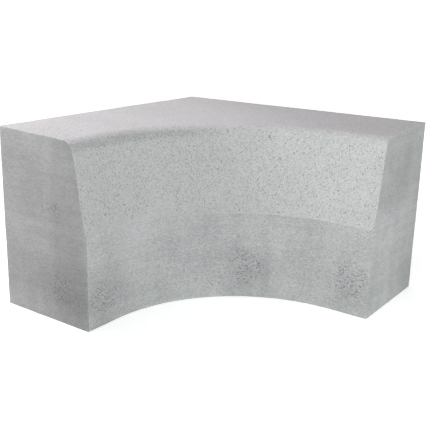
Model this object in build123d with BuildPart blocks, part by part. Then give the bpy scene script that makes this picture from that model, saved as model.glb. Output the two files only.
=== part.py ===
"""Precast concrete kerb unit: a 90 degree inner corner with a round, battered face.

Two equal legs meet in a square outer corner, and the face that shows turns the corner on a
quarter circle. The unit is cast in two mixes, a plain core and a thin granite facing over the
top and the batter, round a small welded cage that carries it while it is lifted and laid.

Millimetres, +Z up. The origin is the middle of the square foot, on the bed. The outer corner
lies toward (-X, +Y), and the face looks toward (+X, -Y).
"""

import os
from math import cos, radians, sqrt

from build123d import *

# overall size
leg_length = 500  # outer corner to end face, the same on both legs
height = 300  # at the back edges
base_width = 185  # of the section, back face to face, below the batter
straight_length = 65  # of each leg's face, from the end face to the curve

# section
batter_foot = 150  # height at which the face starts to lean back
batter_setback = 25  # how far the face leans back between there and the top
top_fall = 5  # the top's fall from back to front, which sheds water
arris_radius = 20  # of the long rounded edge between top and batter
facing_thickness = 20  # of the granite mix

# cage
bar_diameter = 8
link_diameter = 6
cover = 35  # of concrete over the links, on every side
weld_gap = 0.4  # between a bar and a link where a spot weld joins them
link_bend_radius = 15  # of the rod's middle, at each corner of a link
bar_bend_radius = 30  # of the bar's middle, at the outer corner
corner_links = 5  # evenly round the curve, besides one near each end face

# what follows from them
arc_radius = leg_length - base_width - straight_length
back = leg_length / 2
face_height = height - top_fall
top_width = base_width - batter_setback
arc_centre = straight_length - back  # Y of the arc's axis, and X with the sign changed
back_radius = arc_radius + base_width
past_corner = leg_length  # how far a section runs on past the back before it is cut square
bar_in_bend = link_bend_radius - (link_diameter + bar_diameter) / 2 - weld_gap
cage_offset = link_bend_radius - bar_in_bend / sqrt(2)  # a bar's middle to a link's straight sides
link_back = cover + link_diameter / 2
link_front = top_width - link_back
link_bottom = cover + link_diameter / 2
link_top = face_height - link_bottom
bar_back = link_back + cage_offset
bar_front = link_front - cage_offset
bar_levels = {"bottom": link_bottom + cage_offset, "top": link_top - cage_offset}
bar_end = back - cover
end_link = bar_end - link_diameter / 2
outer_corner_radius = sqrt(2) * (back_radius - bar_back - bar_bend_radius) + bar_bend_radius

arc_axis = Axis((-arc_centre, arc_centre, 0), (0, 0, 1))
diagonal = Plane(origin=(0, 0, 0), x_dir=(0, 0, 1), z_dir=(1, 1, 0))
left_leg_section = Plane(origin=(-back, arc_centre, 0), x_dir=(1, 0, 0), z_dir=(0, -1, 0))

# the section's corners, as distance from the back face and height above the bed
foot = (base_width, batter_foot)
arris = (top_width, face_height)
inner_foot = (base_width - facing_thickness, batter_foot)
inner_arris = (top_width - facing_thickness, face_height - facing_thickness)
inner_back = (0, height - facing_thickness)
inner_past = (-past_corner, height - facing_thickness)

facing_outline = [
    (-past_corner, height),
    (0, height),
    arris,
    foot,
    inner_foot,
    inner_arris,
    inner_back,
    inner_past,
]
core_outline = [
    (-past_corner, 0),
    (base_width, 0),
    foot,
    inner_foot,
    inner_arris,
    inner_back,
    inner_past,
]


def sweep_round_corner(section):
    """Runs a section along the left leg, round the curve and along the right leg."""
    left_leg = extrude(section, amount=straight_length)
    mirror(left_leg, about=diagonal)
    revolve(section, axis=arc_axis, revolution_arc=-90)
    Box(
        leg_length,
        leg_length,
        height,
        align=(Align.CENTER, Align.CENTER, Align.MIN),
        mode=Mode.INTERSECT,
    )


def link_plane(angle):
    """The upright plane through the arc's axis, this many degrees round from the left leg."""
    outward = Vector(-1, 0, 0).rotate(Axis.Z, -angle)
    return Plane(
        origin=(-arc_centre, arc_centre, 0), x_dir=outward, z_dir=outward.cross(Vector(0, 0, 1))
    )


def link_reach(angle):
    """How far a link's outer rod is from the arc's axis, so that it lies behind the outer bars."""
    if abs(angle - 45) < 1:
        return outer_corner_radius + cage_offset
    return (back_radius - link_back) / cos(radians(min(angle, 90 - angle)))


def closed_link(plane, near, far):
    """A closed rectangular link of round rod, upright in a plane, between two distances."""
    with BuildPart() as link:
        with BuildLine(plane):
            rod = FilletPolyline(
                (near, link_bottom),
                (far, link_bottom),
                (far, link_top),
                (near, link_top),
                radius=link_bend_radius,
                close=True,
            )
        with BuildSketch(Plane(origin=rod @ 0, z_dir=rod % 0)):
            Circle(link_diameter / 2)
        sweep(path=rod)
    return link.part


# steel first, because the core is cast round it
steel = []

for level, bar_height in bar_levels.items():
    bar_plane = Plane.XY.offset(bar_height)

    with BuildPart() as outer_bar:
        outer_line = bar_back - back
        with BuildLine(bar_plane):
            middle = FilletPolyline(
                (outer_line, -bar_end),
                (outer_line, -outer_line),
                (bar_end, -outer_line),
                radius=bar_bend_radius,
            )
        with BuildSketch(Plane(origin=middle @ 0, z_dir=middle % 0)):
            Circle(bar_diameter / 2)
        sweep(path=middle)
    outer_bar.part.label = f"outer_{level}_bar"
    steel.append(outer_bar.part)

    with BuildPart() as inner_bar:
        inner_line = bar_front - back
        with BuildLine(bar_plane):
            Line((inner_line, -bar_end), (inner_line, arc_centre))
            RadiusArc(
                (inner_line, arc_centre), (-arc_centre, -inner_line), back_radius - bar_front
            )
            Line((-arc_centre, -inner_line), (bar_end, -inner_line))
        with BuildSketch(Plane(origin=(inner_line, -bar_end, bar_height), z_dir=(0, 1, 0))):
            Circle(bar_diameter / 2)
        sweep()
    inner_bar.part.label = f"inner_{level}_bar"
    steel.append(inner_bar.part)

near_radius = back_radius - link_front
for number in range(corner_links):
    angle = 90 * (number + 0.5) / corner_links
    corner_link = closed_link(link_plane(angle), near_radius, link_reach(angle))
    corner_link.label = f"corner_link_{number + 1}"
    steel.append(corner_link)

left_end_link = closed_link(
    left_leg_section.offset(end_link + arc_centre), link_back, link_front
)
left_end_link.label = "left_end_link"
steel.append(left_end_link)

with BuildPart() as right_end_link:
    mirror(left_end_link, about=diagonal)
right_end_link.part.label = "right_end_link"
steel.append(right_end_link.part)

with BuildPart() as granite_facing:
    with BuildSketch(left_leg_section) as facing_section:
        with BuildLine():
            Polyline(facing_outline, close=True)
        make_face()
        fillet(facing_section.vertices().sort_by_distance(arris)[0], arris_radius)
    sweep_round_corner(facing_section.sketch)
granite_facing.part.label = "granite_facing"

with BuildPart() as core_concrete:
    with BuildSketch(left_leg_section) as core_section:
        with BuildLine():
            Polyline(core_outline, close=True)
        make_face()
    sweep_round_corner(core_section.sketch)
    for rod in steel:
        add(rod, mode=Mode.SUBTRACT)
core_concrete.part.label = "core_concrete"

os.makedirs("parts", exist_ok=True)
for piece in [core_concrete.part, granite_facing.part, *steel]:
    export_step(piece, f"parts/{piece.label}.step")
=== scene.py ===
from math import pi, radians

import bmesh
import bpy
import numpy as np
from bpy.props import FloatProperty, FloatVectorProperty, IntProperty, PointerProperty
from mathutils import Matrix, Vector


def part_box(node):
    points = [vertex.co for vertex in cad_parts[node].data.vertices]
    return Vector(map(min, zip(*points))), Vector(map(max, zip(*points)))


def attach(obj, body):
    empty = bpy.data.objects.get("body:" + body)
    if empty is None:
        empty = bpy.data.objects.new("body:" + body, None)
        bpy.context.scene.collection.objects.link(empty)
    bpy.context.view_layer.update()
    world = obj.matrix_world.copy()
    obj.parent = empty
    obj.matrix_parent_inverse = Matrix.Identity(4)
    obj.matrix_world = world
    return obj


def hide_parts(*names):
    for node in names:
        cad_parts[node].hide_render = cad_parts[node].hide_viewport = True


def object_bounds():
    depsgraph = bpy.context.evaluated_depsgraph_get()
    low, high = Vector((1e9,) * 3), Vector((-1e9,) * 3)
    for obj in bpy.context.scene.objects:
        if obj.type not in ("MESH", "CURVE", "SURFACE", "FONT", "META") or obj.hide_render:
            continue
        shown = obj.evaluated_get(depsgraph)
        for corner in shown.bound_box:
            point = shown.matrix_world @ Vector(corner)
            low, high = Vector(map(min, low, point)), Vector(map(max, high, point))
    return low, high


bl_info = {
    "name": "Kerb Inner Corner",
    "version": (1, 0, 0),
    "blender": (4, 5, 0),
    "location": "3D View > Sidebar > Kerb",
    "description": "Builds the finished look of a precast kerb unit for an inner corner",
    "category": "Add Mesh",
}

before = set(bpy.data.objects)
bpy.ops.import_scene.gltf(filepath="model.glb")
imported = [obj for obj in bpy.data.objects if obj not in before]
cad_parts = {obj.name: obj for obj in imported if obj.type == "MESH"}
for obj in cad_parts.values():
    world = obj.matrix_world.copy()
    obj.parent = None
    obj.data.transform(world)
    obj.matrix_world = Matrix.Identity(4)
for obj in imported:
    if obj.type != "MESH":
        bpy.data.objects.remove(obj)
CAD_LOW, CAD_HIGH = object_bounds()
FACING_LOW, FACING_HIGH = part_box("granite_facing")
CORE_LOW, CORE_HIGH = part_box("core_concrete")
BODY = "root"
STEEL_NODES = [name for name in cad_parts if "_bar" in name or "_link" in name]


# ---------------------------------------------------------------------------------------
# sizes and colours
# ---------------------------------------------------------------------------------------


def length(name, description, default):
    """A length in metres."""
    return FloatProperty(
        name=name, description=description, default=default, min=0, unit="LENGTH", precision=4
    )


def colour(name, description, default):
    """A linear colour."""
    return FloatVectorProperty(
        name=name, description=description, default=default, min=0, max=1, size=3, subtype="COLOR"
    )


def strength(name, description, default, unit="NONE"):
    """How strongly a light shines."""
    return FloatProperty(name=name, description=description, default=default, min=0, unit=unit)


def watts(name, description, default):
    """A lamp's power in watts."""
    return strength(name, description, default, "POWER")


class KerbSizes(bpy.types.PropertyGroup):
    """The concrete unit's plan, section and surface."""

    leg_length: length("Leg length", "Outer corner to end face", CAD_HIGH[0] - CAD_LOW[0])
    height: length("Height", "Bed to the top's back edges", CAD_HIGH[2] - CAD_LOW[2])
    base_width: length("Base width", "Back to face, below the batter", 0.185)
    straight_length: length("Straight", "Straight part of each leg's face", 0.065)
    batter_foot: length("Batter foot", "Where the face starts to lean back", FACING_LOW[2])
    batter_setback: length("Setback", "How far the face leans back", 0.025)
    top_fall: length("Top fall", "The top's fall from back to front", 0.005)
    arris_radius: length("Front edge radius", "Between the top and the batter", 0.020)
    facing_thickness: length(
        "Facing thickness", "Depth of the granite mix", FACING_HIGH[2] - CORE_HIGH[2]
    )
    edge_radius: length("Edge wear", "Rounding of the moulded edges", 0.0009)
    chip: length("Chips", "How much deeper the edges are chipped in places", 0.0025)
    undulation: length("Undulation", "Depth of the faces' long, slow waves", 0.0005)
    grit: length("Grit", "Depth of the facing's short, rough relief", 0.00022)
    spacing: length("Mesh spacing", "Distance between mesh rows", 0.00265)
    air_holes: IntProperty(
        name="Air holes", description="Air holes cast in the plain faces", default=90, min=0
    )


class KerbColours(bpy.types.PropertyGroup):
    """The colours of the concrete, its stone and its steel."""

    plain_light: colour("Plain concrete, light", "Cement skin", (0.425, 0.437, 0.436))
    plain_dark: colour("Plain concrete, dark", "Denser, damp-cured clouds", (0.308, 0.318, 0.317))
    hole: colour("Air holes", "The shade inside air holes", (0.12, 0.125, 0.125))
    paste: colour("Facing paste", "Pale cement between the stones", (0.462, 0.472, 0.472))
    sand: colour("Facing sand", "Mid-grey fines", (0.335, 0.343, 0.343))
    dark_stone: colour("Dark stone", "Mica and basalt flecks", (0.098, 0.100, 0.098))
    light_stone: colour("Light stone", "Quartz and feldspar flecks", (0.56, 0.56, 0.56))
    # painted light: the tint and brightness that the light gives the level top
    top_light_tint: colour(
        "Top tint", "Multiplies the facing's colours on the level top", (1.0, 0.96, 0.975)
    )
    mill_scale: colour("Mill scale", "Skin of hot-rolled steel", (0.075, 0.07, 0.07))
    rust: colour("Rust", "Where the skin has gone", (0.26, 0.105, 0.045))
    floor: colour("Floor", "The studio floor", (0.88, 0.88, 0.88))


class StageSettings(bpy.types.PropertyGroup):
    """The camera and the studio light."""

    camera_place: FloatVectorProperty(
        name="Camera", description="Where it stands", default=(0.6781, -0.9802, 0.4922),
        subtype="TRANSLATION", unit="LENGTH",
    )
    camera_turn: FloatVectorProperty(
        name="Turn", description="Its rotation", subtype="EULER",
        default=(radians(73.692), radians(-0.876), radians(36.881)),
    )
    lens: FloatProperty(name="Lens", description="Focal length in mm", default=61.38, min=1)
    shift: FloatProperty(name="Shift", description="Sideways shift of the lens", default=0.0465)
    sky: strength("Sky", "Strength of the even light", 0.32)
    near_glow: strength("Near glow", "The lit floor's own light under the unit", 0.41)
    far_glow: strength("Far glow", "The lit floor's own light further out", 0.68)
    key: watts("Key", "Softbox left of the unit", 5.7)
    over: watts("Over", "Small lamp over the left leg", 1.4)
    inner: watts("Inner", "Small lamp over the curve", 0.5)
    rear: watts("Rear", "Lamp above the outer corner", 2.2)
    front: watts("Front", "Front softbox", 11)
    side: watts("Side", "Low softbox at the right end", 2.4)
    back: watts("Back", "Each low softbox behind", 7)
    floor_size: length("Floor size", "Side of the floor and its backdrop", 16)


# ---------------------------------------------------------------------------------------
# the unit's shape
# ---------------------------------------------------------------------------------------

ARRIS_STEPS = 14  # round the front edge
RIM = 0.004  # width of the strip along each edge that the "edge" mark covers


def steps(start, end, count, crowd=0.0, at="start"):
    """A row of numbers from start to end in count steps.

    With a crowd distance, the first (or last) four steps are at 0.3, 0.6, 1 and 1.6 times
    that distance from the end that is crowded, so that an edge there can be rounded.
    """
    if not crowd:
        return np.linspace(start, end, count + 1)
    near = np.array([0.0, 0.3, 0.6, 1.0, 1.6]) * crowd
    shares = np.concatenate([near[:-1], np.linspace(near[-1], abs(end - start), count - 3)])
    if at == "end":
        shares = (abs(end - start) - shares)[::-1]
    return start + np.sign(end - start) * shares


def ripple(points, wavelength, seed, waves=24):
    """Smooth random relief, mostly between -1 and 1.

    The scaled sum of plane waves of one wavelength, each with a random direction and phase.
    """
    rng = np.random.default_rng(seed)
    ways = rng.normal(size=(waves, 3))
    ways *= 2 * pi / wavelength / np.linalg.norm(ways, axis=1, keepdims=True)
    phases = rng.uniform(0, 2 * pi, waves)
    return np.cos(points @ ways.T + phases).sum(axis=1) / np.sqrt(waves)


def smooth(value, low, high):
    """0 below low and 1 above high, with an even curve between."""
    share = np.clip((value - low) / (high - low), 0, 1)
    return share * share * (3 - 2 * share)


class Unit:
    """The concrete unit's plan and section as formulas.

    Across the unit, r is the distance from the curve's axis. Beside a straight leg it is the
    distance from the line that passes through the axis along that leg.
    """

    def __init__(self, sizes):
        s = self.sizes = sizes
        self.half = s.leg_length / 2
        self.face_height = s.height - s.top_fall
        self.top_width = s.base_width - s.batter_setback
        self.arc_radius = s.leg_length - s.base_width - s.straight_length
        self.back_radius = self.arc_radius + s.base_width
        self.axis = np.array([1, -1]) * (self.half - s.straight_length)
        self.inner_top = s.height - s.facing_thickness
        self.inner_width = self.top_width - s.facing_thickness
        self.step = s.base_width - s.facing_thickness
        self.across = round(self.top_width / s.spacing)
        self.down = round((s.height - s.batter_foot) / s.spacing)
        self.through = round(s.facing_thickness / s.spacing) + 2
        # inward normals of batter and top, as (r, z), and the front edge's centre, which is
        # one edge radius inside both
        lean = np.array([self.face_height - s.batter_foot, -s.batter_setback])
        fall = np.array([s.top_fall, -self.top_width])
        self.batter_in, self.top_in = lean / np.linalg.norm(lean), fall / np.linalg.norm(fall)
        corner = np.array([self.back_radius - self.top_width, self.face_height])
        both = np.array([self.batter_in, self.top_in])
        self.edge_centre = corner + np.linalg.solve(both, np.full(2, s.arris_radius))
        self.edge_turns = [np.arctan2(-way[1], -way[0]) for way in (self.top_in, self.batter_in)]

    def stations(self):
        """Lines across the unit from the left end to the right, as (foot, way, reach).

        Each line starts from its foot on the curve's axis, or level with it beside a straight
        leg, and runs its way to the square back, which it meets at its reach: the back radius
        over the larger of the cosine and sine of its angle.
        """
        s = self.sizes
        straight = round(s.straight_length / s.spacing) + 3
        along = steps(0, s.straight_length, straight, s.edge_radius)[:-1]
        eighth = round(pi / 4 * self.arc_radius / s.spacing) + 3
        corner_crowd = s.edge_radius / (2 * self.back_radius)
        half_turn = steps(0, pi / 4, eighth, corner_crowd, "end")
        angle = np.concatenate([half_turn, pi / 2 - half_turn[-2::-1]])
        left = np.stack([np.full(len(along), self.axis[0]), along - self.half], axis=1)
        right = np.stack([self.half - along, np.full(len(along), self.axis[1])], axis=1)[::-1]
        foot = np.concatenate([left, np.tile(self.axis, (len(angle), 1)), right])
        angle = np.concatenate([np.zeros(len(along)), angle, np.full(len(along), pi / 2)])
        way = np.stack([-np.cos(angle), np.sin(angle)], axis=1)
        reach = self.back_radius / np.maximum(np.cos(angle), np.sin(angle))
        return foot, way, reach

    def sweep(self, depth, level, stations, cover=None):
        """A grid of points: a line of the section carried along the stations.

        depth is the distance from the back and level the height. The front of the section
        keeps its shape, and the rest is stretched evenly out to the square back. A cover of
        "top" or "joint" takes the height from r, so that the surface falls only between the
        back radius and the front.
        """
        foot, way, reach = stations
        depth, level = np.broadcast_arrays(np.asarray(depth, float), np.asarray(level, float))
        stretch = np.clip(1 - depth / (self.inner_width * 0.85), 0, 1)
        r = self.back_radius - depth + (reach[:, None] - self.back_radius) * stretch
        plan = foot[:, None] + r[..., None] * way[:, None]
        high = np.broadcast_to(level, r.shape)
        if cover == "top":
            high = self.fallen(self.sizes.height, r, self.top_width)
        if cover == "joint":
            high = self.fallen(self.inner_top, r, self.inner_width)
        return np.concatenate([plan, high[..., None]], axis=2)

    def fallen(self, high, r, width):
        """A cover's height: level beyond the back radius, then falling evenly to the front."""
        return high - self.sizes.top_fall * np.clip((self.back_radius - r) / width, 0, 1)

    def joint(self):
        """The joint between core and facing, as shares across the top and down the batter,
        and the shares through the facing's thickness. Core and facing both use them."""
        s = self.sizes
        across = steps(0, 1, self.across, s.edge_radius / self.step)
        through = steps(0, 1, self.through, s.edge_radius / s.facing_thickness)
        return across, np.linspace(0, 1, self.down + 1), through

    def joint_down(self, share):
        """The joint behind the batter, from its top to the ledge at the batter's foot."""
        s = self.sizes
        high = self.face_height - s.facing_thickness
        depth = self.inner_width + (self.step - self.inner_width) * share
        return depth, high + (s.batter_foot - high) * share

    def core_grids(self):
        """The core: bed, back, lower face, ledge, joint, and two ends.

        Each grid is a line of the section swept along the unit, apart from the ends. Below
        the ledge an end is a rectangle, and above it its rows run straight from the back to
        the joint.
        """
        s = self.sizes
        stations = self.stations()
        across, down, through = self.joint()
        rise = steps(0, s.batter_foot, round(s.batter_foot / s.spacing) + 3, s.edge_radius)
        ledge = s.base_width - s.facing_thickness * through[::-1]
        bed = np.concatenate([self.step * across, ledge[1:]])
        down_depth, down_level = self.joint_down(down)
        back = self.inner_top + (s.batter_foot - self.inner_top) * down
        grids = [
            self.sweep(bed, 0, stations),
            self.sweep(0, rise, stations),
            self.sweep(0, back, stations),
            self.sweep(s.base_width, rise, stations),
            self.sweep(ledge, s.batter_foot, stations),
            self.sweep(down_depth, down_level, stations),
            self.sweep(self.inner_width * across, 0, stations, "joint"),
        ]
        for end in (0, -1):
            station = tuple(part[[end]] for part in stations)
            lower = self.sweep(np.tile(bed, len(rise)), np.repeat(rise, len(bed)), station)
            grids.append(lower.reshape(len(rise), len(bed), 3))
            depth = down_depth[:, None] * across
            level = back[:, None] + (down_level - back)[:, None] * across
            upper = self.sweep(depth.ravel(), level.ravel(), station)
            grids.append(upper.reshape(len(down), len(across), 3))
        return grids

    def facing_grids(self):
        """The facing: top, front edge and batter, the joint under them, and four sides.

        The outer line is the top as far as the middle of the front edge, then the rest of the
        edge and the batter. The joint has as many points, so straight rungs through the
        facing's thickness close the back, the foot and both ends.
        """
        s = self.sizes
        stations = self.stations()
        across, down, through = self.joint()
        turn = np.linspace(*self.edge_turns, ARRIS_STEPS + 1)
        edge_depth = self.back_radius - self.edge_centre[0] - s.arris_radius * np.cos(turn)
        edge_level = self.edge_centre[1] + s.arris_radius * np.sin(turn)
        half = ARRIS_STEPS // 2
        top = steps(0, edge_depth[0], len(across) - 1 - half, s.edge_radius)
        foot = np.linspace(0, 1, len(down) - half)
        front_depth = edge_depth[-1] + (s.base_width - edge_depth[-1]) * foot
        front_level = edge_level[-1] + (s.batter_foot - edge_level[-1]) * foot
        down_depth, down_level = self.joint_down(down)
        outer = np.concatenate(
            [
                self.sweep(top, 0, stations, "top"),
                self.sweep(edge_depth[1:], edge_level[1:], stations),
                self.sweep(front_depth[1:], front_level[1:], stations),
            ],
            axis=1,
        )
        inner = np.concatenate(
            [
                self.sweep(self.inner_width * across, 0, stations, "joint"),
                self.sweep(down_depth[1:], down_level[1:], stations),
            ],
            axis=1,
        )
        rungs = outer[:, :, None] + (inner - outer)[:, :, None] * through[:, None]
        return [outer, inner, rungs[:, 0], rungs[:, -1], rungs[0], rungs[-1]]

    def inward(self, points, radius):
        """How far each point is within a radius of the outer faces, as vectors inward.

        For every outer face there is a part along its inward normal: the radius less the
        point's distance from the face, where that is positive. On a flat face the sum is one
        radius long, and it is longer only near an edge.
        """
        s = self.sizes
        x, y, z = points.T
        off = points[:, :2] - self.axis
        off[y < self.axis[1], 1] = 0
        off[x > self.axis[0], 0] = 0
        r = np.linalg.norm(off, axis=1)
        out = np.pad(off / np.maximum(r, 1e-9)[:, None], ((0, 0), (0, 1)))
        up = np.array([0.0, 0.0, 1.0])
        # round the front edge, its own curved face stands for the top and the batter
        from_centre = np.stack([r, z], axis=1) - self.edge_centre
        turn = np.arctan2(from_centre[:, 1], from_centre[:, 0])
        in_edge = (turn > self.edge_turns[0]) & (turn < self.edge_turns[1])
        reach = np.linalg.norm(from_centre, axis=1)
        ways = -from_centre / np.maximum(reach, 1e-9)[:, None]
        lower = r - self.arc_radius
        batter = lower * self.batter_in[0] + (z - s.batter_foot) * self.batter_in[1]
        leaning = z > s.batter_foot
        lean = self.batter_in[0] * out + self.batter_in[1] * up
        faces = [
            (x + self.half, np.array([1.0, 0, 0])),
            (self.half - y, np.array([0, -1.0, 0])),
            (y + self.half, np.array([0, 1.0, 0])),
            (self.half - x, np.array([-1.0, 0, 0])),
            (z, up),
            (np.where(in_edge, s.arris_radius - reach, 1), ways[:, :1] * out + ways[:, 1:] * up),
            (np.where(in_edge, 1, self.fallen(s.height, r, self.top_width) - z), -up),
            (
                np.where(in_edge, 1, np.where(leaning, batter, lower)),
                np.where(leaning[:, None], lean, out),
            ),
        ]
        return sum(np.maximum(0, radius - gap)[:, None] * normal for gap, normal in faces)

    def holes(self):
        """Air holes in the plain faces: their centres, random on the faces, and their radii."""
        s = self.sizes
        rng = np.random.default_rng(11)
        count = s.air_holes
        along, high = rng.uniform(0.02, 0.98, (2, count))
        edge = np.full(count, self.half)
        turn = along * pi / 2
        across = along * self.top_width - self.half
        whole = (2 * along - 1) * self.half
        tall = high * s.height
        curve = self.axis[:, None] + self.arc_radius * np.array([-np.cos(turn), np.sin(turn)])
        choices = np.stack(
            [
                np.stack([curve[0], curve[1], high**1.3 * s.batter_foot], axis=1),
                np.stack([across, -edge, tall], axis=1),
                np.stack([edge, -across, tall], axis=1),
                np.stack([-edge, whole, tall], axis=1),
                np.stack([whole, edge, tall], axis=1),
            ]
        )
        face = rng.choice(len(choices), count, p=[0.4, 0.12, 0.12, 0.18, 0.18])
        return choices[face, np.arange(count)], 0.0018 + 0.0024 * rng.uniform(size=count) ** 3

    def weather(self, points):
        """The cast and worn surface, and three marks between 0 and 1 on it: how far stone is
        exposed, less on the level top as painted sheen, where the level top's painted sheen and
        tint go, and how near an edge is.

        Each point moves along the sum that inward() gives: by what the sum has beyond the wear
        radius, which rounds every edge, and by the relief. Neither is negative, so the unit
        stays within its moulded size.
        """
        s = self.sizes
        wobble = 1 + 0.3 * ripple(points, 0.045, 3) + 0.2 * ripple(points, 0.012, 4)
        radius = s.edge_radius * np.maximum(wobble, 0.4)
        chips = ripple(points, 0.03, 9) + 0.4 * ripple(points, 0.009, 10)
        radius += s.chip * smooth(chips, 1.7, 2.9)
        push = self.inward(points, radius)
        size = np.linalg.norm(push, axis=1)
        way = push / np.maximum(size, 1e-9)[:, None]
        skin = np.clip(size / radius, 0, 1)
        waves = 0.5 + 0.22 * ripple(points, 0.16, 5) + 0.08 * ripple(points, 0.04, 6)
        relief = s.undulation * waves
        facing = smooth(-way[:, 2], 0.03, 0.14) * (points[:, 2] > s.batter_foot)
        relief += facing * s.grit * (0.5 + 0.3 * ripple(points, 0.007, 7))
        bed = way[:, 2] > 0.9
        relief += bed * s.grit * (2 + ripple(points, 0.018, 8))
        for centre, width in zip(*self.holes()):
            gap = np.linalg.norm(points - centre, axis=1) / width
            relief += 0.45 * width * np.clip(1 - gap**2, 0, 1)
        depth = np.maximum(size - radius, 0) + np.maximum(relief, 0) * skin
        moved = points + way * depth[:, None]
        # painted sheen: the level top shows less stone than the washed edge and batter, its flecks
        # paled as by a sheen
        level = facing * smooth(-way[:, 2], 0.55, 0.98)
        exposed = facing - 0.35 * level
        beyond = np.linalg.norm(self.inward(points, RIM), axis=1) / RIM - 1
        edge = np.clip(beyond / (np.sqrt(2) - 1), 0, 1)
        return moved, {"exposed": exposed, "painted_sheen_top": level, "edge": edge}


# ---------------------------------------------------------------------------------------
# meshes
# ---------------------------------------------------------------------------------------


def closed_mesh(name, grids, closed=True):
    """One mesh from grids of points that meet edge to edge, its normals pointing out.

    In each grid, neighbouring points of two neighbouring rows make a four-cornered face.
    """
    points, faces, count = [], [], 0
    for grid in grids:
        rows, columns = grid.shape[:2]
        number = count + np.arange(rows * columns).reshape(rows, columns)
        sides = [number[:-1, :-1], number[:-1, 1:], number[1:, 1:], number[1:, :-1]]
        faces.append(np.stack(sides, axis=-1).reshape(-1, 4))
        points.append(grid.reshape(-1, 3))
        count += rows * columns
    mesh = bpy.data.meshes.new(name)
    mesh.from_pydata(np.concatenate(points), [], np.concatenate(faces))
    work = bmesh.new()
    work.from_mesh(mesh)
    bmesh.ops.remove_doubles(work, verts=work.verts, dist=2e-6)
    bmesh.ops.recalc_face_normals(work, faces=work.faces)
    if closed and any(not edge.is_manifold for edge in work.edges):
        raise RuntimeError(f"{name}: its grids don't meet edge to edge")
    work.to_mesh(mesh)
    work.free()
    return mesh


def cast(name, grids, unit, material, node):
    """A concrete piece in place of its CAD node: closed, weathered, and smooth but for edges."""
    mesh = closed_mesh(name, grids)
    points = np.empty(len(mesh.vertices) * 3)
    mesh.vertices.foreach_get("co", points)
    points, marks = unit.weather(points.reshape(-1, 3))
    mesh.vertices.foreach_set("co", points.ravel())
    for mark, values in marks.items():
        attribute = mesh.attributes.new(mark, "FLOAT", "POINT")
        attribute.data.foreach_set("value", values.astype(np.float32))
    mesh.polygons.foreach_set("use_smooth", np.ones(len(mesh.polygons), bool))
    mesh.set_sharp_from_angle(angle=radians(42))
    mesh.materials.append(material)
    mesh.update()
    piece = bpy.data.objects.new(name, mesh)
    bpy.context.scene.collection.objects.link(piece)
    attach(piece, BODY)
    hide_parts(node)
    return piece


# ---------------------------------------------------------------------------------------
# finishes
# ---------------------------------------------------------------------------------------


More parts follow.
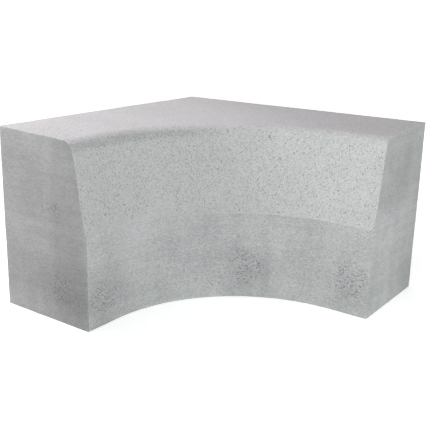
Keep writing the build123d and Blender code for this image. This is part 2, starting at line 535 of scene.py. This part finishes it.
class Finish:
    """A material and the few kinds of node that these finishes are mixed from."""

    def __init__(self, name):
        self.material = bpy.data.materials.new(name)
        self.material.use_nodes = True
        self.tree = self.material.node_tree
        self.shader = self.tree.nodes["Principled BSDF"]
        self.place = self.add("ShaderNodeTexCoord").outputs["Object"]

    def add(self, kind, inputs=None, **settings):
        """A node, with its settings and with a value or a link for each input named."""
        node = self.tree.nodes.new(kind)
        for key, value in settings.items():
            setattr(node, key, value)
        for key, value in (inputs or {}).items():
            if isinstance(value, bpy.types.NodeSocket):
                self.tree.links.new(value, node.inputs[key])
            else:
                node.inputs[key].default_value = value
        return node

    def math(self, operation, *values):
        """One number from others."""
        return self.add("ShaderNodeMath", dict(enumerate(values)), operation=operation).outputs[0]

    def span(self, value, low, high, start=0.0, end=1.0):
        """A number eased from start to end as value goes from low to high."""
        sockets = {
            "Value": value, "From Min": low, "From Max": high, "To Min": start, "To Max": end,
        }
        node = self.add("ShaderNodeMapRange", sockets, interpolation_type="SMOOTHSTEP")
        return node.outputs[0]

    def mix(self, share, first, second):
        """A colour between two."""
        node = self.add("ShaderNodeMix", {0: share, 6: first, 7: second}, data_type="RGBA")
        return node.outputs[2]

    def scaled(self, colour, factor):
        """A colour made lighter or darker by a factor."""
        node = self.add("ShaderNodeVectorMath", {0: colour, "Scale": factor}, operation="SCALE")
        return node.outputs[0]

    def neutral(self, colour):
        """The same colour with no tint."""
        return self.add("ShaderNodeRGBToBW", {0: colour}).outputs[0]

    def stretched(self, stretch, shift=(0, 0, 0), source=None):
        """The object's own coordinates, scaled along each axis."""
        sockets = {"Vector": source or self.place, "Scale": stretch, "Location": shift}
        return self.add("ShaderNodeMapping", sockets).outputs[0]

    def noise(self, size, detail=2.0, place=None, roughness=0.55):
        """Cloudy noise between 0 and 1 with blobs of about this size in metres."""
        sockets = {
            "Vector": place or self.place, "Scale": 1 / size,
            "Detail": detail, "Roughness": roughness,
        }
        return self.add("ShaderNodeTexNoise", sockets).outputs[0]

    def grains(self, size, share, small, large, place=None):
        """Grains in cells of this size: 1 inside a grain, and a random number for each.

        A cell holds a grain if its first random number is under the share, and the grain's
        radius goes from small to large, as parts of a cell, with its second.
        """
        sockets = {"Vector": place or self.place, "Scale": 1 / size, "Randomness": 1.0}
        cells = self.add("ShaderNodeTexVoronoi", sockets)
        chance = self.add("ShaderNodeSeparateColor", {0: cells.outputs["Color"]})
        radius = self.span(chance.outputs[1], 0, 1, small, large)
        inside = self.math("SUBTRACT", radius, cells.outputs["Distance"])
        shape = self.span(inside, 0, 0.08)
        held = self.math("LESS_THAN", chance.outputs[0], share)
        return self.math("MULTIPLY", shape, held), chance.outputs[2]

    def near(self, point, radius):
        """1 at a point, easing to 0 at the radius."""
        node = self.add("ShaderNodeVectorMath", {0: self.place, 1: point}, operation="DISTANCE")
        return self.span(node.outputs["Value"], radius, 0)

    def mark(self, name):
        """A number that the mesh carries at each of its points."""
        return self.add("ShaderNodeAttribute", attribute_name=name).outputs["Fac"]

    def total(self, start, *layers):
        """A start, plus each layer times its weight. Noise is first centred on 0."""
        value = start - sum(weight / 2 for _, weight in layers)
        for layer, weight in layers:
            value = self.math("MULTIPLY_ADD", layer, weight, value)
        return value

    def finish(self, colour, roughness, height):
        """Feeds the shader, with the relief's height in metres."""
        bump = self.add("ShaderNodeBump", {"Height": height, "Strength": 1.0, "Distance": 1.0})
        links = self.tree.links
        links.new(colour, self.shader.inputs["Base Color"])
        links.new(roughness, self.shader.inputs["Roughness"])
        links.new(bump.outputs[0], self.shader.inputs["Normal"])
        return self.material


def rgba(value):
    """A colour property as the four numbers that a socket takes."""
    return (*value, 1.0)


def left_leg(finish, x, y):
    """1 on the left leg and 0 on the right, easing across the curve with x + y."""
    return finish.span(finish.math("ADD", x, y), 0.06, -0.12)


def patches(unit):
    """Where the skin differs: points, how rough it is there, and how much lighter it is.

    The mix has settled less well against the form in most of them. Those are darker.
    """
    s = unit.sizes
    low = 0.057  # height of the lower patches

    def on_curve(turn, high):
        x, y = unit.axis + unit.arc_radius * np.array([-np.cos(turn), np.sin(turn)])
        return x, y, high

    return [
        ((unit.axis[0] - unit.arc_radius, 0.035 - unit.half, low - 0.01), 1.0, -0.08),
        (on_curve(0.97, low), 1.15, -0.15),
        (on_curve(0.72, 2 * low), 0.0, -0.05),
        (on_curve(1.17, 1.4 * low), 0.0, 0.08),
        (on_curve(0.78, 0.4 * low), 0.4, 0.03),
        ((unit.half - 0.035, unit.axis[1] + unit.arc_radius, 1.1 * low), 1.15, -0.12),
        ((0.13 - unit.half, -unit.half, low), 0.6, -0.06),
        ((0.125 - unit.half, -unit.half, 0.6 * s.height), 0.3, -0.06),
        ((unit.half, unit.half - 0.09, 0.76 * s.height), 0.1, -0.07),
    ]


def plain_concrete(finish, colours, unit):
    """Form-cast concrete: colour, roughness and height.

    Its tone is a sum of large clouds, faint level pour lines, faint vertical runs, blotches,
    short fibres and fine grain. Air holes are sparse, and crowd together in the rough patches.
    Dimples are everywhere, and are deepest near the bed. The ends are painted darker than the face,
    as painted shade.
    """
    s = unit.sizes
    x, y, z = finish.add("ShaderNodeSeparateXYZ", {0: finish.place}).outputs
    clouds = finish.noise(0.10, 3.0)
    pour = finish.noise(0.045, 3.0, finish.stretched((0.3, 0.3, 4.0)))
    runs = finish.noise(0.034, 3.0, finish.stretched((1.3, 1.3, 0.3)))
    blotches = finish.noise(0.016, 4.0)
    fibres = finish.noise(0.0042, 2.0, finish.stretched((0.7, 0.7, 1.6)))
    grain = finish.noise(0.0017, 2.0)
    share = finish.total(
        0.57,
        (clouds, 1.5), (pour, 0.8), (runs, 0.9), (blotches, 0.8), (fibres, 1.5), (grain, 3.0),
    )
    colour = finish.mix(
        finish.span(share, -0.1, 1.1), rgba(colours.plain_dark), rgba(colours.plain_light)
    )
    patch, tone = 0.0, 1.0
    for point, rough, lighter in patches(unit):
        tone = finish.math("MULTIPLY_ADD", finish.near(point, 0.085), lighter, tone)
        if rough:
            near = finish.math("MULTIPLY", finish.near(point, 0.044), rough)
            patch = finish.math("MAXIMUM", patch, near)
    wander = finish.noise(0.013, 2.0)
    crowd = finish.math("MULTIPLY", patch, finish.span(wander, 0.34, 0.54))
    clusters, _ = finish.grains(0.0036, 0.85, 0.1, 0.4, finish.stretched((0.75, 0.75, 1.9)))
    clusters = finish.math("MULTIPLY", clusters, finish.span(crowd, 0.05, 0.4, 0.0, 1.3))
    single, _ = finish.grains(0.016, 0.3, 0.03, 0.12)
    dimples = finish.noise(0.0024, 1.0, finish.stretched((0.75, 0.75, 1.6)))
    dimples = finish.span(dimples, 0.57, 0.68)
    dimples = finish.math("MULTIPLY", dimples, finish.span(z, 0.1, 0.02, 0.38, 0.5))
    dimples = finish.math("MULTIPLY", dimples, finish.span(blotches, 0.4, 0.6, 0.5, 1.0))
    holes = finish.math("MAXIMUM", finish.math("MAXIMUM", clusters, single), dimples)
    colour = finish.mix(finish.math("MULTIPLY", holes, 0.6), colour, rgba(colours.hole))
    # slurry from the facing lightens the left leg's face under the batter
    film = finish.span(z, 0.6 * s.batter_foot, s.batter_foot)
    slurry = finish.math("MULTIPLY", film, left_leg(finish, x, y))
    tone = finish.math("MULTIPLY_ADD", slurry, 0.07, tone)
    # painted shade: the left end is darkened, most in its front part, and the right end most in its
    # upper and rear parts
    left_end = finish.span(y, 0.002 - unit.half, 0.001 - unit.half)
    right_end = finish.span(x, unit.half - 0.002, unit.half - 0.001)
    front_half = finish.span(x, 0.1 - unit.half, 0.125 - unit.half, -0.29, -0.39)
    tone = finish.math("MULTIPLY_ADD", left_end, front_half, tone)
    upper = finish.span(z, 0.5 * s.height, 0.68 * s.height, -0.12, -0.25)
    rearward = finish.span(y, 0.13, unit.half, -0.12, -0.25)
    tone = finish.math("MULTIPLY_ADD", right_end, finish.math("MINIMUM", upper, rearward), tone)
    # a strip along the bed, and every edge, are lighter
    tone = finish.math("ADD", tone, finish.span(z, 0.05, 0.0, 0.0, 0.07))
    tone = finish.math("MULTIPLY_ADD", finish.mark("edge"), 0.1, tone)
    colour = finish.scaled(colour, tone)
    colour = finish.mix(
        finish.math("MULTIPLY", left_end, 0.7), colour, finish.neutral(colour)
    )
    height = finish.total(
        0.0,
        (blotches, 0.0003), (fibres, 0.00018), (grain, 0.0001), (pour, 0.0003), (holes, -0.0008),
    )
    return colour, finish.total(0.86, (blotches, 0.1), (grain, 0.08)), height


def plain_finish(colours, unit):
    """The core's finish: form-cast concrete all over."""
    finish = Finish("form_cast_concrete")
    finish.shader.inputs["Specular IOR Level"].default_value = 0.3
    return finish.finish(*plain_concrete(finish, colours, unit))


def facing_finish(colours, unit):
    """The facing's finish: washed granite mix where stone is exposed, and plain concrete on
    the form-cast ends and backs."""
    finish = Finish("washed_granite_mix")
    finish.shader.inputs["Specular IOR Level"].default_value = 0.32
    plain, plain_roughness, plain_height = plain_concrete(finish, colours, unit)
    exposed = finish.mark("exposed")
    clouds = finish.noise(0.09, 2.0)
    blotches = finish.noise(0.012, 3.0)
    speckle = finish.noise(0.0032, 2.0)
    fines = finish.noise(0.0014, 2.0)
    bend = finish.add("ShaderNodeTexNoise", {"Vector": finish.place, "Scale": 320.0, "Detail": 1.0})
    bent = finish.add(
        "ShaderNodeVectorMath", {0: bend.outputs["Color"], 1: (0.0022,) * 3, 2: finish.place},
        operation="MULTIPLY_ADD",
    ).outputs[0]
    share = finish.total(0.6, (clouds, 0.5), (blotches, 0.5), (speckle, 1.6), (fines, 2.4))
    colour = finish.mix(finish.span(share, -0.1, 1.1), rgba(colours.sand), rgba(colours.paste))
    pale, _ = finish.grains(0.0036, 0.35, 0.1, 0.42, bent)
    colour = finish.mix(finish.math("MULTIPLY", pale, 0.3), colour, rgba(colours.light_stone))
    flecks, fleck_tone = finish.grains(0.0044, 0.8, 0.1, 0.31, bent)
    dots, _ = finish.grains(0.014, 0.4, 0.03, 0.085, bent)
    mica = finish.span(finish.noise(0.0023, 1.0, bent), 0.57, 0.68, 0.0, 0.38)
    basalt = finish.span(finish.noise(0.0031, 1.0, bent), 0.65, 0.73, 0.0, 0.7)
    strength = finish.math("MULTIPLY", flecks, finish.span(fleck_tone, 0, 1, 0.05, 0.65))
    for stone in (mica, basalt, finish.math("MULTIPLY", dots, 0.85)):
        strength = finish.math("MAXIMUM", strength, stone)
    strength = finish.math("MULTIPLY", strength, finish.span(blotches, 0.3, 0.65, 0.7, 1.1))
    strength = finish.math("MULTIPLY", strength, exposed)
    colour = finish.mix(strength, colour, rgba(colours.dark_stone))
    # On the left leg a darker band of painted shade runs just under the rounded edge, and slurry
    # hides the batter's foot. The batter also has painted shade halfway round, where it is a
    # little darker than at either end, and the right leg's facing is painted a little lighter.
    x, y, z = finish.add("ShaderNodeSeparateXYZ", {0: finish.place}).outputs
    left = left_leg(finish, x, y)
    top = unit.sizes.height
    under = finish.math(
        "MULTIPLY",
        finish.span(z, top - 0.028, top - 0.018), finish.span(z, top - 0.007, top - 0.013),
    )
    painted_shade_band = finish.math("MULTIPLY", under, left)
    tone = finish.math("MULTIPLY_ADD", finish.mark("edge"), 0.05, 1.0)
    # painted shade: darkens the band under the left leg's front edge
    tone = finish.math("MULTIPLY_ADD", painted_shade_band, -0.12, tone)
    # painted light: the facing on the right leg is made a little lighter
    tone = finish.math("MULTIPLY_ADD", finish.math("SUBTRACT", 1.0, left), 0.03, tone)
    # painted shade: the batter is darkened halfway round, in the hollow of the curve
    hollow_shade = finish.span(finish.math("ABSOLUTE", finish.math("ADD", x, y)), 0.27, 0.0)
    batter = finish.math("SUBTRACT", exposed, finish.mark("painted_sheen_top"))
    tone = finish.math("MULTIPLY_ADD", finish.math("MULTIPLY", hollow_shade, batter), -0.09, tone)
    colour = finish.scaled(colour, tone)
    # painted light: the level top's colours are tinted as the light on it
    painted_top_tint = finish.mix(finish.mark("painted_sheen_top"), (1.0, 1.0, 1.0, 1.0), rgba(colours.top_light_tint))
    colour = finish.add(
        "ShaderNodeVectorMath", {0: colour, 1: painted_top_tint}, operation="MULTIPLY"
    ).outputs[0]
    height = finish.total(
        0.0,
        (blotches, 0.0003), (fines, 0.00014), (pale, 0.0001), (flecks, -0.0001), (dots, -0.0003),
    )
    foot = unit.sizes.batter_foot
    ragged = finish.math("MULTIPLY_ADD", blotches, 0.012, z)
    hidden = finish.math("MULTIPLY", finish.span(ragged, foot + 0.024, foot + 0.005), left)
    faced = finish.span(exposed, 0.0, 0.2)
    faced = finish.math("MULTIPLY", faced, finish.math("SUBTRACT", 1.0, hidden))
    washed = finish.math("MULTIPLY", faced, height)
    cast_height = finish.math("MULTIPLY", finish.math("SUBTRACT", 1.0, faced), plain_height)
    roughness = finish.total(0.8, (blotches, 0.1), (fines, 0.12))
    roughness = finish.math("MULTIPLY_ADD", flecks, -0.12, roughness)
    return finish.finish(
        finish.mix(faced, plain, colour),
        finish.math("MAXIMUM", roughness, finish.math("MULTIPLY", 0.8, plain_roughness)),
        finish.math("ADD", washed, cast_height),
    )


def steel_finish(colours):
    """Reinforcing steel as delivered: dark mill scale with patches of rust."""
    finish = Finish("scaled_rusty_steel")
    finish.shader.inputs["Metallic"].default_value = 0.35
    patches = finish.noise(0.012, 4.0)
    grain = finish.noise(0.0011, 2.0)
    rusty = finish.span(finish.total(0.5, (patches, 1.4), (grain, 0.5)), 0.42, 0.62)
    colour = finish.mix(rusty, rgba(colours.mill_scale), rgba(colours.rust))
    colour = finish.scaled(colour, finish.total(1.0, (grain, 0.6)))
    height = finish.total(0.0, (grain, 0.00006), (patches, 0.0001))
    return finish.finish(colour, finish.span(rusty, 0, 1, 0.5, 0.88), height)


# ---------------------------------------------------------------------------------------
# operators
# ---------------------------------------------------------------------------------------


class KERB_OT_core(bpy.types.Operator):
    """Casts the plain concrete core"""

    bl_idname = "kerb.core"
    bl_label = "Concrete core"

    def execute(self, context):
        unit = Unit(context.scene.kerb_sizes)
        material = plain_finish(context.scene.kerb_colours, unit)
        cast("kerb_core", unit.core_grids(), unit, material, "core_concrete")
        return {"FINISHED"}


class KERB_OT_facing(bpy.types.Operator):
    """Casts the granite-mix facing on top and down the batter"""

    bl_idname = "kerb.facing"
    bl_label = "Granite facing"

    def execute(self, context):
        unit = Unit(context.scene.kerb_sizes)
        material = facing_finish(context.scene.kerb_colours, unit)
        cast("kerb_facing", unit.facing_grids(), unit, material, "granite_facing")
        return {"FINISHED"}


class KERB_OT_cage(bpy.types.Operator):
    """Gives the bars and links of the welded cage their steel"""

    bl_idname = "kerb.cage"
    bl_label = "Reinforcing cage"

    def execute(self, context):
        material = steel_finish(context.scene.kerb_colours)
        for name in STEEL_NODES:
            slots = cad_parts[name].material_slots
            for slot in slots:
                slot.material = material
        return {"FINISHED"}


class KERB_OT_studio(bpy.types.Operator):
    """Sets up the floor, the soft light and the camera"""

    bl_idname = "kerb.studio"
    bl_label = "Studio"

    def execute(self, context):
        stage = context.scene.kerb_stage
        self.floor(stage, context.scene.kerb_colours.floor)
        warm, cool = (1.0, 0.965, 0.99), (0.985, 1.0, 1.0)
        self.light("key_softbox", stage.key, 0.55, (-0.66, -0.46, 0.92), warm)
        self.light("over_lamp", stage.over, 0.4, (-0.4, -0.15, 0.8), warm)
        self.light("inner_lamp", stage.inner, 0.4, (0.05, -0.25, 0.75), cool)
        self.light("rear_lamp", stage.rear, 0.8, (-0.8, 0.8, 1.0), warm)
        self.light("front_softbox", stage.front, 1.4, (0.2, -2.0, 1.1), cool)
        self.light("side_softbox", stage.side, 0.6, (0.9, 0.0, 0.35), cool)
        self.light("back_softbox", stage.back, 1.3, (0.5, 2.0, 0.4), cool)
        self.light("left_back_softbox", stage.back, 1.3, (-2.0, 0.3, 0.4), cool)
        world = bpy.data.worlds.new("soft_white_sky")
        world.use_nodes = True
        sky = world.node_tree.nodes["Background"]
        sky.inputs["Color"].default_value = (1.0, 1.0, 1.0, 1.0)
        sky.inputs["Strength"].default_value = stage.sky
        context.scene.world = world
        context.scene.view_settings.view_transform = "Standard"
        lens = bpy.data.cameras.new("camera")
        lens.lens, lens.shift_x = stage.lens, stage.shift
        lens.clip_start, lens.clip_end = 0.01, 200
        camera = bpy.data.objects.new("camera", lens)
        camera.location, camera.rotation_euler = stage.camera_place, stage.camera_turn
        context.scene.collection.objects.link(camera)
        context.scene.camera = camera
        return {"FINISHED"}

    def floor(self, stage, tone):
        """A lit floor that is flat under the unit and curves up all round into a backdrop.

        A square grid whose height eases from nothing to the backdrop's, with the distance from
        the middle.
        """
        span = stage.floor_size
        side = np.linspace(-0.5, 0.5, 161) * span
        x, y = np.meshgrid(side, side, indexing="ij")
        z = 0.15 * span * smooth(np.hypot(x, y), 0.2 * span, 0.45 * span)
        mesh = closed_mesh("floor", [np.stack([x, y, z], axis=-1)], closed=False)
        mesh.polygons.foreach_set("use_smooth", np.ones(len(mesh.polygons), bool))
        finish = Finish("studio_floor")
        finish.shader.inputs["Base Color"].default_value = rgba(tone)
        finish.shader.inputs["Roughness"].default_value = 0.9
        finish.shader.inputs["Emission Color"].default_value = (1.0, 1.0, 1.0, 1.0)
        distance = finish.add("ShaderNodeVectorMath", {0: finish.place}, operation="LENGTH")
        glow = finish.span(distance.outputs["Value"], 0.4, 1.8, stage.near_glow, stage.far_glow)
        finish.tree.links.new(glow, finish.shader.inputs["Emission Strength"])
        mesh.materials.append(finish.material)
        floor = bpy.data.objects.new("floor", mesh)
        bpy.context.scene.collection.objects.link(floor)

    def light(self, name, power, size, place, tint):
        """A square softbox that looks at the middle of the unit."""
        lamp = bpy.data.lights.new(name, "AREA")
        lamp.energy, lamp.size, lamp.color = power, size, tint
        box = bpy.data.objects.new(name, lamp)
        box.location = place
        aim = (CAD_LOW + CAD_HIGH) / 2 - box.location
        box.rotation_euler = aim.to_track_quat("-Z", "Y").to_euler()
        bpy.context.scene.collection.objects.link(box)


class KERB_PT_panel(bpy.types.Panel):
    """The kerb's makers, sizes and colours"""

    bl_idname = "KERB_PT_panel"
    bl_label = "Kerb inner corner"
    bl_space_type = "VIEW_3D"
    bl_region_type = "UI"
    bl_category = "Kerb"

    def draw(self, context):
        for maker in MAKERS:
            self.layout.operator(maker.bl_idname)
        scene = context.scene
        for group in (scene.kerb_sizes, scene.kerb_colours, scene.kerb_stage):
            box = self.layout.box()
            for name in group.__annotations__:
                box.prop(group, name)


MAKERS = (KERB_OT_core, KERB_OT_facing, KERB_OT_cage, KERB_OT_studio)
CLASSES = (KerbSizes, KerbColours, StageSettings, *MAKERS, KERB_PT_panel)


def register():
    for cls in CLASSES:
        bpy.utils.register_class(cls)
    bpy.types.Scene.kerb_sizes = PointerProperty(type=KerbSizes)
    bpy.types.Scene.kerb_colours = PointerProperty(type=KerbColours)
    bpy.types.Scene.kerb_stage = PointerProperty(type=StageSettings)


def unregister():
    del bpy.types.Scene.kerb_stage, bpy.types.Scene.kerb_colours, bpy.types.Scene.kerb_sizes
    for cls in reversed(CLASSES):
        bpy.utils.unregister_class(cls)


def main():
    register()
    bpy.ops.kerb.core()
    bpy.ops.kerb.facing()
    bpy.ops.kerb.cage()
    bpy.ops.kerb.studio()


if __name__ == "__main__":
    main()
